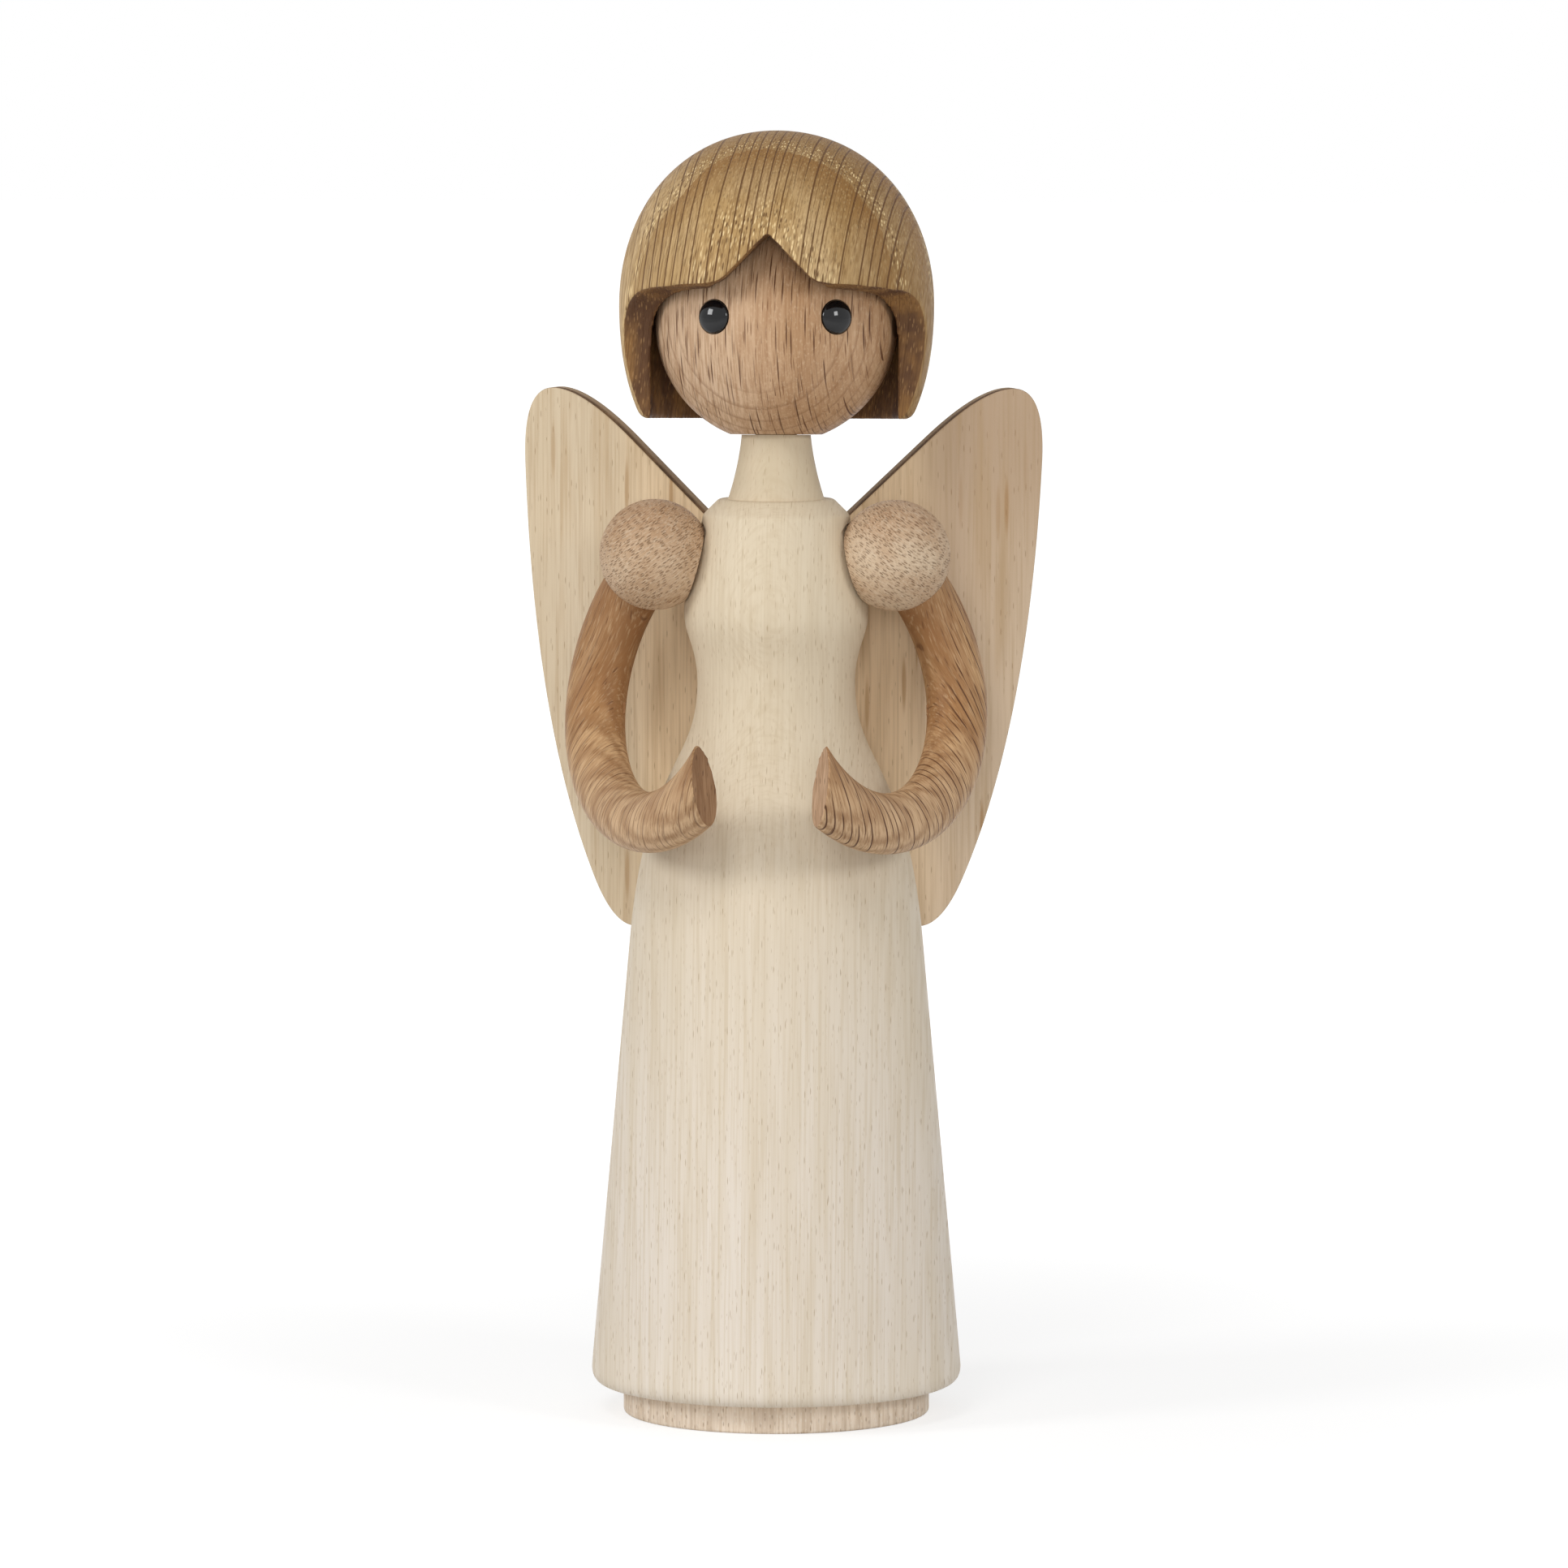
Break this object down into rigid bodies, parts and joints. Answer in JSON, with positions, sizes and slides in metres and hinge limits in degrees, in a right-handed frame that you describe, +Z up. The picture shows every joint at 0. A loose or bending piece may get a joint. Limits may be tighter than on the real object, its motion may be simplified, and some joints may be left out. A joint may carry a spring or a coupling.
{
  "type": "wooden angel figurine",
  "caption": "Free-standing turned-wood angel figurine: ball head that turns on the neck, bored oak hair cap, board wings, and half-ring arms that swing on shoulder balls.",
  "frame": {"origin": "middle of the foot disc's flat underside, on the axis of the turned dress", "axes": "+Z up along the axis of the dress, the face looks along -Y, +X to the viewer's right; pieces are named left and right as the viewer sees them"},
  "size_m": [0.0758, 0.0612, 0.1857],
  "materials": {
    "pale_wood": "sanded pale maple or birch with a matt clear finish",
    "foot_wood": "sanded greyish beech, matt",
    "head_beech": "reddish beech with short dark flecks, satin oil finish",
    "arm_beech": "beech with slanting grain lines, satin oil finish",
    "hair_oak": "golden-brown oak with open pores, satin oil finish",
    "wing_board": "light birch board with dark sawn edges, matt",
    "ball_wood": "sanded beech ball with fine dotted figure, matt",
    "dowel_wood": "plain beech dowel, unfinished",
    "black_bead": "glossy black"
  },
  "bodies": {
    "figure": {"foot_disc": "foot_wood", "foot_dowel": "dowel_wood", "dress_body": "pale_wood", "neck_dowel": "dowel_wood", "left_wing": "wing_board", "right_wing": "wing_board", "left_shoulder_dowel": "dowel_wood", "right_shoulder_dowel": "dowel_wood"},
    "head": {"head_ball": "head_beech", "hair_cap": "hair_oak", "hair_dowel": "dowel_wood", "left_eye": "black_bead", "right_eye": "black_bead"},
    "left_arm_and_ball": {"left_shoulder_ball": "ball_wood", "left_arm": "arm_beech"},
    "right_arm_and_ball": {"right_shoulder_ball": "ball_wood", "right_arm": "arm_beech"}
  },
  "joints": [
    {"name": "head_turn", "type": "hinge", "parent": "figure", "child": "head", "pos_m": [0, 0, 0.1418], "axis": [0, 0.0523, 0.9986], "continuous": true},
    {"name": "left_arm_swing", "type": "hinge", "parent": "figure", "child": "left_arm_and_ball", "pos_m": [-0.01732, -0.00305, 0.12486], "axis": [-0.9513, -0.1677, 0.2588], "range_deg": [-9, 30]},
    {"name": "right_arm_swing", "type": "hinge", "parent": "figure", "child": "right_arm_and_ball", "pos_m": [0.01732, -0.00305, 0.12486], "axis": [-0.9513, 0.1677, -0.2588], "range_deg": [-9, 30]}
  ]
}
